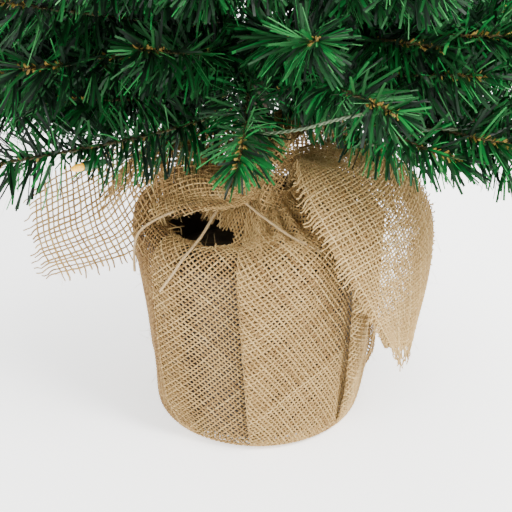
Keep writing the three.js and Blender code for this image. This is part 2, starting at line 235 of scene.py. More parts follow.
def add_area_light(name, place, size, power, colour):
    """A soft round light that points at the tree."""
    light = bpy.data.lights.new(name, "AREA")
    light.shape = "DISK"
    light.size = size
    light.energy = power
    light.color = colour
    holder = bpy.data.objects.new(name, light)
    holder.location = place
    holder.rotation_euler = (LIGHTS_AIM - Vector(place)).to_track_quat("-Z", "Y").to_euler()
    bpy.context.scene.collection.objects.link(holder)


def add_studio():
    """A plain pale floor that glows a little, an even white sky and the soft lights."""
    bpy.ops.mesh.primitive_plane_add(size=FLOOR_SIZE)
    floor = bpy.context.object
    floor.name = "floor"
    white = plain_material("floor_white", (0.97, 0.97, 0.965), 0.6)
    shader = white.node_tree.nodes["Principled BSDF"]
    shader.inputs["Emission Color"].default_value = (1, 1, 0.985, 1)
    shader.inputs["Emission Strength"].default_value = FLOOR_GLOW
    floor.data.materials.append(white)
    world = bpy.data.worlds.new("studio")
    bpy.context.scene.world = world
    world.use_nodes = True
    background = world.node_tree.nodes["Background"]
    background.inputs["Color"].default_value = (1, 1, 1, 1)
    background.inputs["Strength"].default_value = SKY_STRENGTH
    for light in SOFT_LIGHTS:
        add_area_light(*light)


# ======================================================================= materials
def new_material(name):
    """A new material with its nodes, its links and its shader."""
    material = bpy.data.materials.new(name)
    material.use_nodes = True
    nodes = material.node_tree.nodes
    return material, nodes, material.node_tree.links, nodes["Principled BSDF"]


def plain_material(name, colour, roughness):
    """One colour all over."""
    material, _, _, shader = new_material(name)
    shader.inputs["Base Color"].default_value = (*colour, 1)
    shader.inputs["Roughness"].default_value = roughness
    return material


def ramp(nodes, stops):
    """A colour ramp with these (position, colour) stops."""
    node = nodes.new("ShaderNodeValToRGB")
    elements = node.color_ramp.elements
    while len(elements) < len(stops):
        elements.new(0.5)
    for element, (position, colour) in zip(elements, stops):
        element.position = position
        element.color = (*colour, 1)
    return node


def grained_material(name, stops, scale, roughness, bump=0.2, metallic=0.0, stretch=(1, 1, 1)):
    """A surface whose colour and relief come from layered noise in the object's own coordinates."""
    material, nodes, links, shader = new_material(name)
    place = nodes.new("ShaderNodeTexCoord")
    mapping = nodes.new("ShaderNodeMapping")
    mapping.inputs["Scale"].default_value = stretch
    noise = nodes.new("ShaderNodeTexNoise")
    noise.inputs["Scale"].default_value = scale
    noise.inputs["Detail"].default_value = 6
    colours = ramp(nodes, stops)
    relief = nodes.new("ShaderNodeBump")
    relief.inputs["Strength"].default_value = bump
    relief.inputs["Distance"].default_value = 0.4 * MM
    links.new(place.outputs["Object"], mapping.inputs["Vector"])
    links.new(mapping.outputs["Vector"], noise.inputs["Vector"])
    links.new(noise.outputs["Fac"], colours.inputs["Fac"])
    links.new(colours.outputs["Color"], shader.inputs["Base Color"])
    links.new(noise.outputs["Fac"], relief.inputs["Height"])
    links.new(relief.outputs["Normal"], shader.inputs["Normal"])
    shader.inputs["Roughness"].default_value = roughness
    shader.inputs["Metallic"].default_value = metallic
    return material


def tinted_material(name, stops, roughness, noise_scale, noise_share, bump=0.0, sheen=0.0, gloss=0.5):
    """Each strand carries its own tint, and a fine noise varies the colour along it."""
    material, nodes, links, shader = new_material(name)
    tint = nodes.new("ShaderNodeAttribute")
    tint.attribute_name = "tint"
    place = nodes.new("ShaderNodeTexCoord")
    noise = nodes.new("ShaderNodeTexNoise")
    noise.inputs["Scale"].default_value = noise_scale
    noise.inputs["Detail"].default_value = 3
    blend = nodes.new("ShaderNodeMix")
    blend.inputs["Factor"].default_value = noise_share
    colours = ramp(nodes, stops)
    links.new(place.outputs["Object"], noise.inputs["Vector"])
    links.new(tint.outputs["Fac"], blend.inputs["A"])
    links.new(noise.outputs["Fac"], blend.inputs["B"])
    links.new(blend.outputs["Result"], colours.inputs["Fac"])
    links.new(colours.outputs["Color"], shader.inputs["Base Color"])
    if bump:
        relief = nodes.new("ShaderNodeBump")
        relief.inputs["Strength"].default_value = bump
        relief.inputs["Distance"].default_value = 0.2 * MM
        links.new(noise.outputs["Fac"], relief.inputs["Height"])
        links.new(relief.outputs["Normal"], shader.inputs["Normal"])
    shader.inputs["Roughness"].default_value = roughness
    shader.inputs["Sheen Weight"].default_value = sheen
    shader.inputs["Specular IOR Level"].default_value = gloss
    return material


JUTE = tinted_material(
    "jute", [(0.1, (0.14, 0.068, 0.018)), (0.4, (0.32, 0.196, 0.066)), (0.7, (0.45, 0.30, 0.115)),
             (0.95, (0.58, 0.42, 0.195))],
    0.88, 700, 0.3, 0.5, 0.06, 0.3)
# The last stop, a lighter grey-green that mostly the narrow needles reach, is a painted reflection of the
# film's gloss.
NEEDLE_GREEN = tinted_material(
    "needle_green", [(0.0, (0.0006, 0.003, 0.0012)), (0.3, (0.0015, 0.013, 0.0042)),
                     (0.6, (0.0045, 0.075, 0.013)), (0.86, (0.011, 0.225, 0.042)),
                     (1.0, (0.075, 0.19, 0.075))],
    0.5, 160, 0.12, gloss=0.22)
GOLD_WIRE = grained_material(
    "gold_wire", [(0.35, (0.02, 0.018, 0.008)), (0.65, (0.11, 0.085, 0.028))], 900, 0.45, 0.3, 0.3)
BARK_FLAKE = grained_material(
    "bark_flake", [(0.3, (0.22, 0.12, 0.02)), (0.7, (0.62, 0.42, 0.10))], 400, 0.5, 0.1)
TRUNK_BROWN = grained_material(
    "trunk_brown", [(0.3, (0.018, 0.012, 0.007)), (0.7, (0.06, 0.038, 0.022))], 260, 0.75, 0.5,
    stretch=(1, 1, 0.2))
POT_BROWN = grained_material(
    "pot_brown", [(0.3, (0.028, 0.018, 0.010)), (0.7, (0.042, 0.027, 0.016))], 500, 0.55, 0.15)
CEMENT_GREY = grained_material(
    "cement_grey", [(0.3, (0.07, 0.06, 0.05)), (0.7, (0.14, 0.125, 0.11))], 120, 0.95, 0.8)
BOX_GREEN = grained_material(
    "box_green", [(0.3, (0.007, 0.028, 0.014)), (0.7, (0.010, 0.036, 0.018))], 1500, 0.5, 0.25)
SWITCH_BLACK = grained_material(
    "switch_black", [(0.3, (0.012, 0.012, 0.012)), (0.7, (0.02, 0.02, 0.02))], 900, 0.45)
CELL_BLUE = grained_material(
    "cell_blue", [(0.3, (0.02, 0.06, 0.16)), (0.7, (0.03, 0.085, 0.2))], 90, 0.3, 0.05)
PLATED = grained_material(
    "plated", [(0.3, (0.62, 0.62, 0.6)), (0.7, (0.75, 0.75, 0.73))], 350, 0.3, 0.1, 1.0)
CABLE_GREEN = grained_material(
    "cable_green", [(0.3, (0.045, 0.075, 0.032)), (0.7, (0.105, 0.145, 0.075))], 300, 0.4, 0.05)
HOLDER_GREEN = grained_material(
    "holder_green", [(0.3, (0.01, 0.06, 0.02)), (0.7, (0.02, 0.09, 0.035))], 700, 0.45)


def glowing_material(name, colour, glow, strength):
    """Smooth clear-coated plastic lit from within."""
    material, _, _, shader = new_material(name)
    shader.inputs["Base Color"].default_value = (*colour, 1)
    shader.inputs["Roughness"].default_value = 0.08
    shader.inputs["Emission Color"].default_value = (*glow, 1)
    shader.inputs["Emission Strength"].default_value = strength
    shader.inputs["Coat Weight"].default_value = 0.6
    return material


LENS = glowing_material("lamp_lens", (1.0, 0.55, 0.03), (1.0, 0.42, 0.01), 0.7)
LENS_CORE = glowing_material("lamp_core", (1.0, 0.75, 0.2), (1.0, 0.60, 0.08), 2.0)


# ======================================================================= mesh building
def add_mesh(name, points, quads, materials, tint, indices):
    """A smooth mesh of quads, with a tint for each point and a material index for each face."""
    mesh = bpy.data.meshes.new(name)
    mesh.vertices.add(len(points))
    mesh.vertices.foreach_set("co", np.asarray(points, np.float32).ravel())
    mesh.loops.add(4 * len(quads))
    mesh.loops.foreach_set("vertex_index", np.asarray(quads, np.int32).ravel())
    mesh.polygons.add(len(quads))
    mesh.polygons.foreach_set("loop_start", np.arange(0, 4 * len(quads), 4, dtype=np.int32))
    mesh.polygons.foreach_set("use_smooth", np.full(len(quads), True))
    for material in materials:
        mesh.materials.append(material)
    mesh.polygons.foreach_set("material_index", np.asarray(indices, np.int32))
    layer = mesh.attributes.new("tint", "FLOAT", "POINT")
    layer.data.foreach_set("value", np.asarray(tint, np.float32))
    mesh.update(calc_edges=True)
    mesh.validate()
    piece = bpy.data.objects.new(name, mesh)
    bpy.context.scene.collection.objects.link(piece)
    return piece


def unit(vectors):
    """The same vectors at length one."""
    lengths = np.linalg.norm(vectors, axis=-1, keepdims=True)
    return vectors / np.maximum(lengths, 1e-12)


class Strands:
    """Collects tubes and ribbons as quads, with a tint for each point and a material for each face."""

    def __init__(self):
        self.points, self.quads, self.tints, self.indices = [], [], [], []
        self.count = 0

    def add(self, points, quads, tint, index=0):
        self.points.append(points.reshape(-1, 3))
        self.quads.append(quads.reshape(-1, 4) + self.count)
        self.tints.append(np.broadcast_to(tint, (points.size // 3,)).astype(float))
        self.indices.append(np.full(quads.size // 4, index))
        self.count += points.size // 3

    def tube(self, path, normals, half_width, half_depth, tint, index=0):
        """A closed four-sided tube along path, flattened across normals. half_width may change
        along it."""
        sides = 4
        steps = len(path)
        tangents = unit(np.gradient(path, axis=0))
        across = unit(np.cross(tangents, normals))
        upward = np.cross(across, tangents)
        angles = np.arange(sides) * 2 * math.pi / sides
        wide = np.broadcast_to(half_width, (steps,))[:, None, None]
        deep = np.broadcast_to(half_depth, (steps,))[:, None, None]
        rings = (path[:, None] + across[:, None] * np.cos(angles)[None, :, None] * wide
                 + upward[:, None] * np.sin(angles)[None, :, None] * deep)
        row = np.arange(steps - 1)[:, None] * sides
        here = np.arange(sides)[None]
        there = (here + 1) % sides
        walls = np.stack([row + here, row + there, row + there + sides, row + here + sides], -1)
        last = (steps - 1) * sides
        caps = [[3, 2, 1, 0], [last, last + 1, last + 2, last + 3]]
        self.add(rings, np.concatenate([walls.reshape(-1, 4), np.array(caps)]), tint, index)

    def ribbons(self, starts, directions, faces, lengths, widths, bends, tints, index=0):
        """Many flat square-cut needles at once. faces are the flat sides' normals, bends their droop."""
        shares = np.array([0, 0.3, 0.7, 1.0])
        profile = np.array([0.75, 1.0, 1.0, 0.88])
        across = unit(np.cross(directions, faces))
        spine = (starts[:, None] + directions[:, None] * (lengths[:, None] * shares)[..., None]
                 + bends[:, None] * (shares ** 2)[None, :, None])
        half = across[:, None] * (widths[:, None] * profile / 2)[..., None]
        points = np.stack([spine - half, spine + half], 2)
        base = np.arange(len(starts))[:, None] * 8
        quad = np.array([[0, 1, 3, 2], [2, 3, 5, 4], [4, 5, 7, 6]])
        self.add(points, base[:, None] + quad[None], np.repeat(tints, 8), index)

    def turned(self, start, axis, profile, tint, index=0, sides=12):
        """A round shape about axis. profile lists (distance along the axis, radius) in millimetres."""
        side = unit(np.cross(axis, [0.31, 0.17, 0.9]))
        top = np.cross(axis, side)
        angles = np.arange(sides) * 2 * math.pi / sides
        circle = side * np.cos(angles)[:, None] + top * np.sin(angles)[:, None]
        rings = np.stack([start + axis * along * MM + circle * radius * MM for along, radius in profile])
        row = np.arange(len(profile) - 1)[:, None] * sides
        here = np.arange(sides)[None]
        there = (here + 1) % sides
        walls = np.stack([row + here, row + there, row + there + sides, row + here + sides], -1)
        self.add(rings, walls, tint, index)

    def build(self, name, materials):
        return add_mesh(name, np.concatenate(self.points), np.concatenate(self.quads), materials,
                        np.concatenate(self.tints), np.concatenate(self.indices))


def smooth_route(points, steps_each=8):
    """Catmull-Rom samples through given points, ends included."""
    points = np.asarray(points, float)
    padded = np.vstack([2 * points[0] - points[1], points, 2 * points[-1] - points[-2]])
    share = np.linspace(0, 1, steps_each, endpoint=False)[:, None]
    runs = []
    for a, b, c, d in zip(padded[:-3], padded[1:-2], padded[2:-1], padded[3:]):
        runs.append(0.5 * (2 * b + (c - a) * share + (2 * a - 5 * b + 4 * c - d) * share ** 2
                           + (3 * b - a - 3 * c + d) * share ** 3))
    return np.vstack(runs + [points[-1:]])


def evenly(route, step):
    """The same route with points step apart."""
    lengths = np.r_[0, np.cumsum(np.linalg.norm(np.diff(route, axis=0), axis=1))]
    count = max(int(round(lengths[-1] / step)), 2) + 1
    at = np.linspace(0, lengths[-1], count)
    return np.stack([np.interp(at, lengths, route[:, k]) for k in range(3)], 1)


def route_length(route):
    """The length along a route."""
    return float(np.linalg.norm(np.diff(route, axis=0), axis=1).sum())


# ======================================================================= cords
def cord_curve(name, route, diameter, material):
    """A round cord along a route."""
    curve = bpy.data.curves.new(name, "CURVE")
    curve.dimensions = "3D"
    curve.bevel_depth = diameter / 2
    curve.bevel_resolution = 2
    curve.use_fill_caps = True
    spline = curve.splines.new("POLY")
    spline.points.add(len(route) - 1)
    for point, place in zip(spline.points, route):
        point.co = (*place, 1)
    curve.materials.append(material)
    piece = bpy.data.objects.new(name, curve)
    bpy.context.scene.collection.objects.link(piece)
    return piece


def add_cords():
    """The three loose ends of the twine, and the lead from the light string to the battery box."""
    twine = grained_material(
        "twine", [(0.3, (0.26, 0.165, 0.07)), (0.7, (0.46, 0.33, 0.165))], 1200, 0.85, 0.8)
    for name, points in TWINE_ENDS.items():
        route = smooth_route(np.array(points) * MM)
        piece = cord_curve(name.replace("end", "tail"), route, TWINE_DIAMETER, twine)
        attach(piece, "root")
        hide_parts(name)
    route = smooth_route(np.array(LEAD_ROUTE) * MM)
    lead = cord_curve("battery_lead", route, LEAD_DIAMETER, CABLE_GREEN)
    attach(lead, "root")
    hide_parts("light_lead")


# ======================================================================= burlap
class Surface:
    """A cloth surface held as a grid of points, its size both ways, and where it gapes open."""

    def __init__(self, grid, size_a, size_b, gaping=None):
        self.grid, self.size, self.gaping = grid, (size_a, size_b), gaping
        along = np.gradient(grid, axis=0)
        over = np.gradient(grid, axis=1)
        self.normals = unit(np.cross(along, over))

    def at(self, a, b):
        """Places and normals of the cloth at distances a and b, and where it is closed."""
        rows, columns = self.grid.shape[0] - 1, self.grid.shape[1] - 1
        x = np.clip(a / self.size[0], -0.2, 1.2) * rows
        y = np.clip(b / self.size[1], -0.2, 1.2) * columns
        i = np.clip(x.astype(int), 0, rows - 1)
        j = np.clip(y.astype(int), 0, columns - 1)
        u, v = (x - i)[:, None], (y - j)[:, None]
        results = []
        for field in (self.grid, self.normals):
            low = field[i, j] * (1 - v) + field[i, j + 1] * v
            high = field[i + 1, j] * (1 - v) + field[i + 1, j + 1] * v
            results.append(low * (1 - u) + high * u)
        closed = np.ones(len(i), bool) if self.gaping is None else ~self.gaping[i, j]
        return results[0], unit(results[1]), closed


def slow_noise(at, seed, period):
    """A smooth wandering value of about -1 to 1 along a length."""
    phase = np.random.default_rng(seed).uniform(0, 2 * math.pi, 4)
    total = sum(np.sin(at / period * 2 * math.pi * f + p) / f for f, p in zip((1, 1.7, 2.9, 4.3), phase))
    return total / 1.8


def weave(strands, surface, angle, seed, fringe=(0, 0, 0, 0), keep=None, looseness=1.0, pitch=PITCH,
          shade=0.0):
    """Plain weave over a surface, its threads turned by angle. fringe: how far they run past a=0,
    a=end, b=0 and b=end. keep picks the part that is woven, and shade is painted light (above
    zero) or painted shade (below zero) on its threads."""
    rng = np.random.default_rng(seed)
    size_a, size_b = surface.size
    turn = np.array([[math.cos(angle), -math.sin(angle)], [math.sin(angle), math.cos(angle)]])
    centre = np.array([size_a, size_b]) / 2
    reach = size_a + size_b if angle else max(size_a, size_b) + 0.04
    half = int(reach / pitch / 2) + 1
    along = np.arange(-2 * half, 2 * half + 1) * pitch / 2
    for family in (0, 1):
        for number in range(-half, half + 1):
            thread_seed = rng.integers(1 << 30)
            offset = number * pitch + rng.normal(0, 0.05) * pitch
            wander = slow_noise(along, thread_seed, 0.05) * 0.09 * pitch * looseness
            across = np.full_like(along, offset) + wander
            flat = np.stack([along, across] if family == 0 else [across, along], 1) @ turn.T + centre
            a, b = flat[:, 0], flat[:, 1]
            ends = rng.uniform(0.35, 1.0, 4) * np.array(fringe)
            if family == 0 or angle:
                inside_a = (a > -ends[0]) & (a < size_a + ends[1])
            else:
                inside_a = (a > 0) & (a < size_a)
            if family == 1 or angle:
                inside_b = (b > -ends[2]) & (b < size_b + ends[3])
            else:
                inside_b = (b > 0) & (b < size_b)
            inside = inside_a & inside_b
            if keep is not None:
                inside &= keep(a, b)
            lift = np.cos(math.pi * (along / pitch + number + family)) * WEAVE_DEPTH
            beyond = np.maximum.reduce([-a, a - size_a, -b, b - size_b, np.zeros_like(a)])
            loose = np.clip(beyond / (4 * MM), 0, 1)
            position, normal, closed = surface.at(a, b)
            inside &= closed
            stray = np.stack([slow_noise(along, thread_seed + k, 0.016) for k in (1, 2, 3)], 1)
            path = position + normal * (lift * (1 - loose))[:, None] + stray * (loose * 0.9 * MM)[:, None]
            path[:, 2] -= loose ** 2 * 1.6 * MM
            width = THREAD_HALF_WIDTH * (1 + 0.13 * slow_noise(along, thread_seed + 9, 0.02)
                                         + rng.normal(0, 0.08)) * (1 - 0.3 * loose)
            # shade adds painted light or painted shade to each thread's own random tone.
            tone = 0.5 + shade + rng.normal(0, 0.16) + 0.12 * slow_noise(along, thread_seed + 5, 0.04)
            tone = np.clip(tone, 0.02, 0.98)
            edges = np.flatnonzero(np.diff(np.r_[0, inside.astype(int), 0]))
            for start, stop in zip(edges[::2], edges[1::2]):
                if stop - start >= 4:
                    run = slice(start, stop)
                    strands.tube(path[run], normal[run], width[run], THREAD_HALF_DEPTH,
                                 np.repeat(tone[run], 4))


def fuzz(strands, surface, count, seed):
    """Loose hairs that stand out from the cloth."""
    rng = np.random.default_rng(seed)
    i, j = (rng.integers(0, size, count) for size in surface.grid.shape[:2])
    clear = surface.grid[i, j, 2] > 12 * MM
    i, j, count = i[clear], j[clear], int(clear.sum())
    start, normal = surface.grid[i, j], surface.normals[i, j]
    direction = unit(normal * rng.choice([-0.5, 0.5], (count, 1)) + rng.normal(0, 0.8, (count, 3)))
    sizes = rng.uniform(2.5, 8, count) * MM
    bends = rng.normal(0, 2.2 * MM, (count, 3))
    faces = unit(rng.normal(size=(count, 3)))
    strands.ribbons(start, direction, faces, sizes, np.full(count, 0.13 * MM), bends,
                    rng.uniform(0.6, 1.0, count))


def sack_profile():
    """The sack's outline as evenly spaced points in the plane y = 0."""
    outline = smooth_route(np.array([(r, 0, z) for r, z in SACK_OUTLINE]) * MM, 10)
    return evenly(outline, 1.5 * MM)


def sack_panel(profile, fold, following):
    """One strip of the sack between two folds. Its left edge is rolled under and its right edge runs
    on under the following fold."""
    bottom_turn, top_turn, _, overlap, _ = fold
    widths = [(b - a) % 360 for a, b in zip((bottom_turn, top_turn), following[:2])]
    length = route_length(profile)
    visible = math.radians(sum(widths) / 2) * WALL_RADIUS
    back, front = math.pi * FOLD_ROLL + FOLD_TUCK, visible + overlap * MM
    x = np.linspace(-back, front, int((back + front) / (0.9 * MM)))
    bulge = np.exp(-(np.maximum(x, 0) / FOLD_REACH) ** 2)
    tucked = np.clip((x - visible + 5 * MM) / (5 * MM), 0, 1)
    height = np.where(x >= 0, FOLD_CREST * bulge, 0) - 1.6 * MM * tucked
    angle = np.clip(-x / FOLD_ROLL, 0, math.pi)
    height = np.where(x < 0, FOLD_CREST - FOLD_ROLL + FOLD_ROLL * np.cos(angle), height)
    rolled = -FOLD_ROLL * np.sin(angle) + np.maximum(-x - math.pi * FOLD_ROLL, 0)
    shift = np.where(x < 0, rolled, x)
    share = np.linspace(0, 1, len(profile))
    start = np.radians(bottom_turn + (top_turn - bottom_turn) * share)
    spread = np.radians(widths[0] + (widths[1] - widths[0]) * share)
    theta = start[:, None] + spread[:, None] * shift[None] / visible
    rise = profile[:, 2][:, None]
    radius = profile[:, 0][:, None]
    wall = np.clip((rise - 4 * MM) / (20 * MM), 0, 1)
    shoulder = np.clip((rise - 108 * MM) / (12 * MM), 0, 1)
    folds = height[None] * wall * (1 - 0.5 * shoulder)
    broad_ripple = 1.3 * MM * np.sin(3 * theta + 1.3 + rise / (40 * MM))
    fine_ripple = 0.8 * MM * np.sin(7 * theta + 2.1 - rise / (26 * MM))
    outward = radius + folds + (broad_ripple + fine_ripple) * wall
    inner = np.clip((54 * MM - outward) / (18 * MM), 0, 1) * np.clip((outward - 22 * MM) / (14 * MM), 0, 1)
    gathers = np.sin(22 * theta + 2 * np.sin(5 * theta)) * 2.6 * MM * shoulder * inner
    apart = (theta - math.radians(HOLLOW["azimuth"]) + math.pi) % (2 * math.pi) - math.pi
    hollow = np.exp(-(apart / math.radians(HOLLOW["spread"])) ** 2)
    dip = np.exp(-((outward - HOLLOW["radius"] * MM) / (HOLLOW["reach"] * MM)) ** 2)
    lift = rise + gathers - HOLLOW["depth"] * MM * hollow * dip * shoulder
    grid = np.stack([outward * np.cos(theta), outward * np.sin(theta), lift], -1)
    return Surface(grid, length, back + front, hollow * dip * shoulder > HOLLOW_GAPES_ABOVE)


def corner_surface(lines):
    """A softly rippled surface through three lines that run side by side."""
    guides = [evenly(smooth_route(np.array(line) * MM), 2 * MM) for line in lines]
    length = float(np.mean([route_length(guide) for guide in guides]))
    rows = 60
    shares = np.linspace(0, 1, rows)
    aligned = []
    for guide in guides:
        at = np.linspace(0, 1, len(guide))
        aligned.append(np.stack([np.interp(shares, at, guide[:, k]) for k in range(3)], 1))
    grid = np.stack([smooth_route([a, b, c], 16) for a, b, c in zip(*aligned)])
    width = float(np.max([route_length(row) for row in grid]))
    surface = Surface(grid, length, width)
    share_b = np.linspace(0, 1, grid.shape[1])[None, :]
    share_a = shares[:, None]
    ripple = np.sin(share_b * 9 + 1) * 2.2 * (1 - share_a) + np.sin(share_b * 5 + share_a * 4) * 1.6 * share_a
    return Surface(grid + surface.normals * (ripple * MM)[..., None], length, width)


def weave_base():
    """The round of cloth under the pot."""
    base = Strands()
    span = np.linspace(-BASE_RADIUS, BASE_RADIUS, 40)
    x, y = np.meshgrid(span, span, indexing="ij")
    disc = Surface(np.stack([x, y, np.full_like(x, 1.0 * MM)], -1), 2 * BASE_RADIUS, 2 * BASE_RADIUS)
    weave(base, disc, 0.0, 40, keep=lambda a, b: np.hypot(a - BASE_RADIUS, b - BASE_RADIUS) < BASE_RADIUS)
    return base.build("burlap_base", [JUTE])


def weave_corner(name, lines, number, hairs):
    """One loose corner of the cloth with its fringe, lined where the cloth lies double."""
    corner = Strands()
    surface = corner_surface(lines)
    fringe = CORNER_FRINGE * FRINGE_SHARES.get(name, 1.0)
    pitch = PITCH if name == "right" else OPEN_PITCH
    # Each corner's threads get painted light or painted shade, set per corner.
    shade = CORNER_PAINTED_LIGHT.get(name, 0.0)
    weave(corner, surface, 0.0, 60 + number, fringe, looseness=2.2, pitch=pitch, shade=shade)
    fuzz(hairs, surface, 300, 160 + number)
    if name in LINED:
        behind = surface.normals * LINING_GAP + np.array([0, 0, 2 * MM])
        lining = Surface(surface.grid - behind, *surface.size)
        lined = LINED[name] * surface.size[0]
        # The lining is painted 0.2 darker again, as painted shade on the layer behind.
        weave(corner, lining, math.radians(12), 70 + number, keep=lambda a, b: a < lined, looseness=1.5,
              pitch=pitch, shade=shade - 0.2)
    return corner.build(f"burlap_corner_{name}", [JUTE])


def weave_gather(name, lines, number, hairs):
    """One bunch of gathered cloth at the neck."""
    gather = Strands()
    surface = corner_surface(lines)
    fringe = (3 * MM, 0, 3 * MM, 3 * MM)
    # The gathered cloth is painted slightly darker, as painted shade at the neck.
    weave(gather, surface, math.radians(20), 80 + number, fringe, looseness=1.5, shade=-0.08)
    fuzz(hairs, surface, 420, 180 + number)
    return gather.build(f"burlap_{name}", [JUTE])


def add_burlap():
    """The whole cloth: wall, base, corners, gathers and hairs."""
    profile = sack_profile()
    pieces = []
    hairs = Strands()
    for first, quarter in enumerate(WALL_PIECES):
        strands = Strands()
        for number in (2 * first, 2 * first + 1):
            fold, following = FOLDS[number], FOLDS[(number + 1) % len(FOLDS)]
            panel = sack_panel(profile, fold, following)
            # fold[4] is painted light or painted shade on this strip's threads.
            weave(strands, panel, math.radians(fold[2]), 20 + number, shade=fold[4])
            fuzz(hairs, panel, 160, 120 + number)
        pieces.append(strands.build(f"burlap_{quarter}", [JUTE]))
    pieces.append(weave_base())
    for number, (name, lines) in enumerate(CORNERS.items()):
        pieces.append(weave_corner(name, lines, number, hairs))
    for number, (name, lines) in enumerate(GATHERS.items()):
        pieces.append(weave_gather(name, lines, number, hairs))
    pieces.append(hairs.build("burlap_hairs", [JUTE]))
    for piece in pieces:
        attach(piece, "root")
    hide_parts("burlap_wrap")
    loose_pieces = pieces[len(WALL_PIECES):] + [add_stray_threads()]


def add_stray_threads():
    """Frayed threads that hang into the opening at the front left of the shoulder."""
    strands = Strands()
    for _ in range(FRAYED_THREADS):
        turn = math.radians(HOLLOW["azimuth"] + RNG.uniform(-34, 30))
        radius = RNG.choice(FRAYED_RADII) + RNG.uniform(-2, 2)
        by_the_neck = radius < HOLLOW["radius"]
        height = 127 if by_the_neck else 115
        start = np.array([radius * math.cos(turn), radius * math.sin(turn), height]) * MM
        inward = np.array([math.cos(turn + RNG.normal(0, 0.5)), math.sin(turn + RNG.normal(0, 0.5)), 0])
        reach = (1 if by_the_neck else -1) * RNG.uniform(5, 13) * MM
        sag = np.array([0, 0, -RNG.uniform(1, 6)]) * MM
        curl = RNG.normal(0, 2, 3) * MM
        route = smooth_route([start, start + inward * reach * 0.5 + curl, start + inward * reach + sag], 8)
        strands.tube(route, np.array([0, 0, 1.0]), 0.34 * MM, 0.3 * MM, RNG.uniform(0.35, 0.9))
    piece = strands.build("burlap_stray_threads", [JUTE])
    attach(piece, "root")
    return piece


def add_tie():
    """Two turns of two-ply twine round the neck, and the knot."""
    strands = Strands()
    turns = np.linspace(0, 4 * math.pi, 260)
    height = TIE_HEIGHT + np.sin(turns / 2) * 1.1 * MM + slow_noise(turns, 5, 9.0) * 0.5 * MM
    ring = np.stack([np.cos(turns) * TIE_RADIUS, np.sin(turns) * TIE_RADIUS, height], 1)
    wound(strands, ring, TWINE_DIAMETER * 0.27, 0.9 * MM, 1.2)
    swing = np.linspace(0, 2 * math.pi, 90)
    loops = np.stack([np.sin(swing) + 2 * np.sin(2 * swing), np.cos(swing) - 2 * np.cos(2 * swing),
                      -1.2 * np.sin(3 * swing)], 1)
    wound(strands, KNOT_PLACE + loops[:, [0, 2, 1]] * 0.95 * MM, TWINE_DIAMETER * 0.3, 0.7 * MM, 1.2)
    piece = strands.build("neck_tie", [JUTE])
    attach(piece, "root")
    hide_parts("twine_tie")


# ======================================================================= branches
def needles_on(strands, route, tint_shift, start, clear_of):
    """Needles round a stem like the bristles of a brush, leaning forwards towards its tip. Those
    that would cover the point clear_of are cut short."""
    total = route_length(route)
    fine = evenly(route, MM / NEEDLES_PER_MM)
    at = np.linspace(0, total, len(fine))
    tangents = unit(np.gradient(fine, axis=0))
    radial = unit(np.cross(tangents, RNG.normal(size=(len(fine), 3))))
    open_top = (radial[:, 2] > 0.6) & (total - at < 36 * MM) & (RNG.random(len(fine)) < 0.6)
    chosen = (at >= start) & ~open_top
    fine, at, tangents, radial = fine[chosen], at[chosen], tangents[chosen], radial[chosen]
    count = len(fine)
    to_tip = total - at
    lean_degrees = np.interp(to_tip, [0, 6 * MM, 16 * MM, 60 * MM], [18, 44, 60, 70])
    lean = np.radians(lean_degrees + RNG.normal(0, 9, count))
    direction = unit(tangents * np.cos(lean)[:, None] + radial * np.sin(lean)[:, None])
    size = NEEDLE_LENGTH * np.interp(to_tip, [0, 25 * MM], [0.62, 1.0]) * RNG.uniform(0.8, 1.08, count)
    if clear_of is not None:
        nearest = np.clip(((clear_of - fine) * direction).sum(1), 0, size)
        covering = np.linalg.norm(fine + direction * nearest[:, None] - clear_of, axis=1) < LAMP_CLEARANCE
        size = np.where(covering, 0.3 * size, size)
    thin = RNG.random(count) < THIN_SHARE
    faces = unit(RNG.normal(size=(count, 3)) * 0.7 + np.cross(direction, radial))
    bends = (tangents * 0.12 + np.array([0, 0, -0.06])) * size[:, None] * RNG.uniform(-0.3, 1.5, (count, 1))
    # The narrow needles take the lightest tints, a painted reflection of the film's gloss.
    pale = RNG.uniform(0.9, 1.0, count)
    tints = np.where(thin, pale, np.clip(RNG.beta(2.0, 2.2, count) * 0.86 + tint_shift, 0, 0.88))
    widths = NEEDLE_WIDTH * RNG.uniform(0.8, 1.12, count) * np.where(thin, 0.42, 1.0)
    strands.ribbons(fine, direction, faces, size, widths, bends, tints)


def flakes_on(strands, route):
    """Short curls of the brown film round the wire, as cutting leaves them, thicker at the tip."""
    crowded = evenly(route, FLAKE_STEP)[-int(FLAKED_TIP / FLAKE_STEP):]
    fine = np.vstack([evenly(route, 9 * MM), crowded])
    tangents = unit(np.roll(fine, -1, axis=0) - fine + 1e-9)
    tangents[-1] = tangents[-2]
    count = len(fine)
    radial = unit(np.cross(tangents, RNG.normal(size=(count, 3))))
    direction = unit(tangents + radial * 0.9)
    faces = unit(RNG.normal(size=(count, 3)))
    size = RNG.uniform(2.0, 3.8, count) * MM
    widths = RNG.uniform(0.8, 1.4, count) * MM
    strands.ribbons(fine, direction, faces, size, widths, radial * 0.3 * MM, RNG.random(count), 2)


def wound(strands, route, radius, step, turn, tint=0.6, index=0):
    """Two strands wound round each other along a route."""
    fine = evenly(route, step)
    tangents = unit(np.gradient(fine, axis=0))
    side = unit(np.cross(tangents, [0.13, 0.21, 1.0]))
    top = np.cross(side, tangents)
    turns = np.arange(len(fine)) * turn
    for phase in (0, math.pi):
        offset = side * np.cos(turns + phase)[:, None] + top * np.sin(turns + phase)[:, None]
        strands.tube(fine + offset * radius * 0.9, top, radius, radius, tint, index)


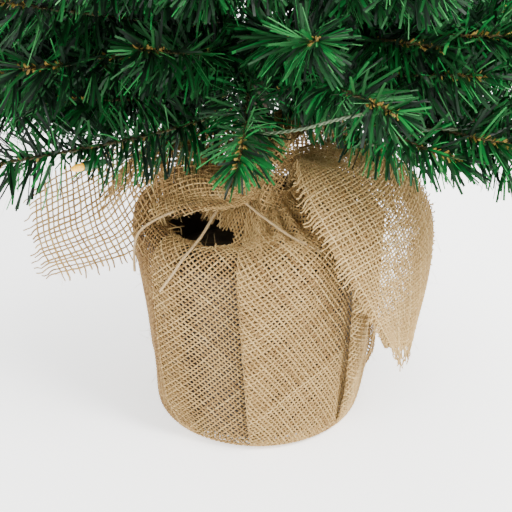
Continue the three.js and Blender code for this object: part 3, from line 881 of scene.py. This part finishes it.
def shoot(strands, route, tint_shift, bare, clear_of=None):
    """A stem of two wires with its needles, bare at its foot, and its flakes."""
    wound(strands, route, WIRE_RADIUS, 1.6 * MM, 1.1, index=1)
    needles_on(strands, route, tint_shift, bare, clear_of)
    flakes_on(strands, route)


def side_shoots(route, count, reach):
    """Routes of the side shoots of a stem, alternating left and right and curving forwards."""
    fine = evenly(route, 1 * MM)
    longest = route_length(route) * LONGEST_SIDE_SHOOT
    routes = []
    for number in range(count):
        share = FIRST_SIDE_SHOOT + (LAST_SIDE_SHOOT - FIRST_SIDE_SHOOT) * number / max(count - 1, 1)
        index = int(share * (len(fine) - 1))
        forward = unit(fine[min(index + 4, len(fine) - 1)] - fine[index])
        side = unit(np.cross(forward, [0, 0, 1.0])) * (1 if number % 2 else -1)
        length = min(reach * (1.15 - 0.5 * share) * RNG.uniform(0.85, 1.1), longest)
        out = forward * 0.72 + side * 0.68 + np.array([0, 0, RNG.uniform(0.0, 0.3)])
        later = forward * 0.95 + side * 0.25 + np.array([0, 0, RNG.uniform(0.0, 0.2)])
        start = fine[index]
        middle = start + unit(out) * length * 0.5
        routes.append(smooth_route([start, middle, middle + unit(later) * length * 0.5], 10))
    return routes


def branch_route(root, tip):
    """A stem from root to tip with a slight sag and a rising end."""
    root, tip = np.array(root), np.array(tip)
    span = tip - root
    side = unit(np.cross(span, [0, 0, 1.0]))
    length = np.linalg.norm(span)
    wander = RNG.normal(0, 0.012, 2) * length
    points = [root, root + span * 0.35 + side * wander[0] - np.array([0, 0, 0.02 * length]),
              root + span * 0.7 + side * wander[1] - np.array([0, 0, 0.015 * length]), tip]
    return smooth_route(points, 12)


def farthest_point(node, root):
    """The point of a part that is farthest from root."""
    places = np.array([v.co for v in frame["nodes"][node].data.vertices])
    return places[np.argmax(np.linalg.norm(places - root, axis=1))]


def shoots_of(route):
    """How many side shoots a stem has and their reach. The low stems over the front are single."""
    length = route_length(route)
    start, end = route[0], route[-1]
    if end[1] < -0.45 * abs(end[0]) and start[2] < 220 * MM:
        return 0, 0
    return (6 if length > 120 * MM else 5 if length > 85 * MM else 4), SIDE_SHOOT_REACH


def add_branches():
    """Every hinged branch with its side shoots, and the lamp on it if it has one."""
    for joint in frame["joints"]:
        body = joint["child"]
        if not body.startswith("branch_"):
            continue
        root = np.array(joint["pos_m"])
        tip = farthest_point(body, root)
        route = branch_route(root, tip - unit(tip - root) * 8 * MM)
        lamp = body.replace("branch", "lamp")
        lens = farthest_point(lamp, root) - unit(tip - root) * 4 * MM if lamp in frame["nodes"] else None
        strands = Strands()
        shift = RNG.uniform(-0.14, 0.1)
        shoot(strands, route, shift, 8 * MM, lens)
        for extra in side_shoots(route, *shoots_of(route)):
            shoot(strands, extra, shift + RNG.uniform(-0.06, 0.08), 3 * MM, lens)
        piece = strands.build(f"{body}_foliage", [NEEDLE_GREEN, GOLD_WIRE, BARK_FLAKE])
        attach(piece, body)
        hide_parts(body)
        if lens is not None:
            add_lamp(lamp, body, root, tip)


def add_lamp(lamp, body, root, branch_tip):
    """A holder with its clear lens, and the twisted leads that sag along under the branch."""
    axis = unit(branch_tip - root)
    base = farthest_point(lamp, root) - axis * LAMP_LENS[-1][0] * MM
    strands = Strands()
    strands.turned(base, axis, LAMP_HOLDER, 0.3, 0)
    strands.turned(base, axis, LAMP_CORE, 0.5, 2, 8)
    strands.turned(base, axis, LAMP_LENS, 0.5, 1)
    start = root + axis * 17 * MM + np.array([0, 0, 2 * MM])
    middle = (start + base) / 2 - np.array([0, 0, 7 * MM])
    before = base - axis * 7 * MM
    lead = smooth_route([start, middle, before, base + axis * 1 * MM], 14)
    wound(strands, lead, 0.42 * MM, 1.0 * MM, 0.8, index=3)
    piece = strands.build(f"{lamp}_light", [HOLDER_GREEN, LENS, LENS_CORE, CABLE_GREEN])
    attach(piece, body)
    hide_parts(lamp)


def add_string_runs():
    """The runs of the light string that hang free of the needles."""
    for body, points in STRING_RUNS.items():
        strands = Strands()
        wound(strands, smooth_route(np.array(points) * MM, 12), 0.5 * MM, 1.0 * MM, 0.8)
        piece = strands.build(f"{body}_string", [CABLE_GREEN])
        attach(piece, body)


def add_leader():
    """The top of the tree: an upright stem with shoots that spread at its foot and rise above."""
    low, high = (Vector(corner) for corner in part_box("leader_shoot"))
    strands = Strands()
    middle = (1 * MM, 0, (low.z + high.z) / 2)
    stem = smooth_route([(0, 0, low.z + 2 * MM), middle, (0, 0, high.z - 12 * MM)], 12)
    shoot(strands, stem, 0, 2 * MM)
    for number in range(LEADER_SHOOTS):
        turn = number * GOLDEN_TURN
        height = low.z + (4 + 5.5 * number) * MM
        out = np.array([math.cos(turn), math.sin(turn), 0])
        size = (50 - 2.4 * number) * MM
        climb = -0.5 + number * 0.11
        start = np.array([0, 0, height])
        bend = start + out * size * 0.5 + np.array([0, 0, size * climb * 0.4])
        tip = bend + out * size * 0.4 + np.array([0, 0, size * (climb * 0.4 + 0.1)])
        shoot(strands, smooth_route([start, bend, tip], 10), 0, 3 * MM)
    piece = strands.build("leader_foliage", [NEEDLE_GREEN, GOLD_WIRE, BARK_FLAKE])
    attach(piece, "root")
    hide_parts("leader_shoot")


def paint_solids():
    """The parts that keep their plain solid shape get their real surfaces."""
    looks = {
        "pot_liner": POT_BROWN, "ballast_block": CEMENT_GREY,
        "trunk_pole": TRUNK_BROWN, "trunk_wrap": TRUNK_BROWN,
        "battery_case": BOX_GREEN, "battery_cover": BOX_GREEN, "switch_slider": SWITCH_BLACK,
        "battery_cell_1": CELL_BLUE, "battery_cell_2": CELL_BLUE, "battery_cell_3": CELL_BLUE,
        "contact_plate_left": PLATED, "contact_plate_right": PLATED, "light_string": CABLE_GREEN,
    }
    for name, node in frame["nodes"].items():
        if name in looks:
            node.data.materials.clear()
            node.data.materials.append(looks[name])


add_camera()
add_cords()
add_burlap()
add_tie()
add_branches()
add_string_runs()
add_leader()
paint_solids()
add_studio()
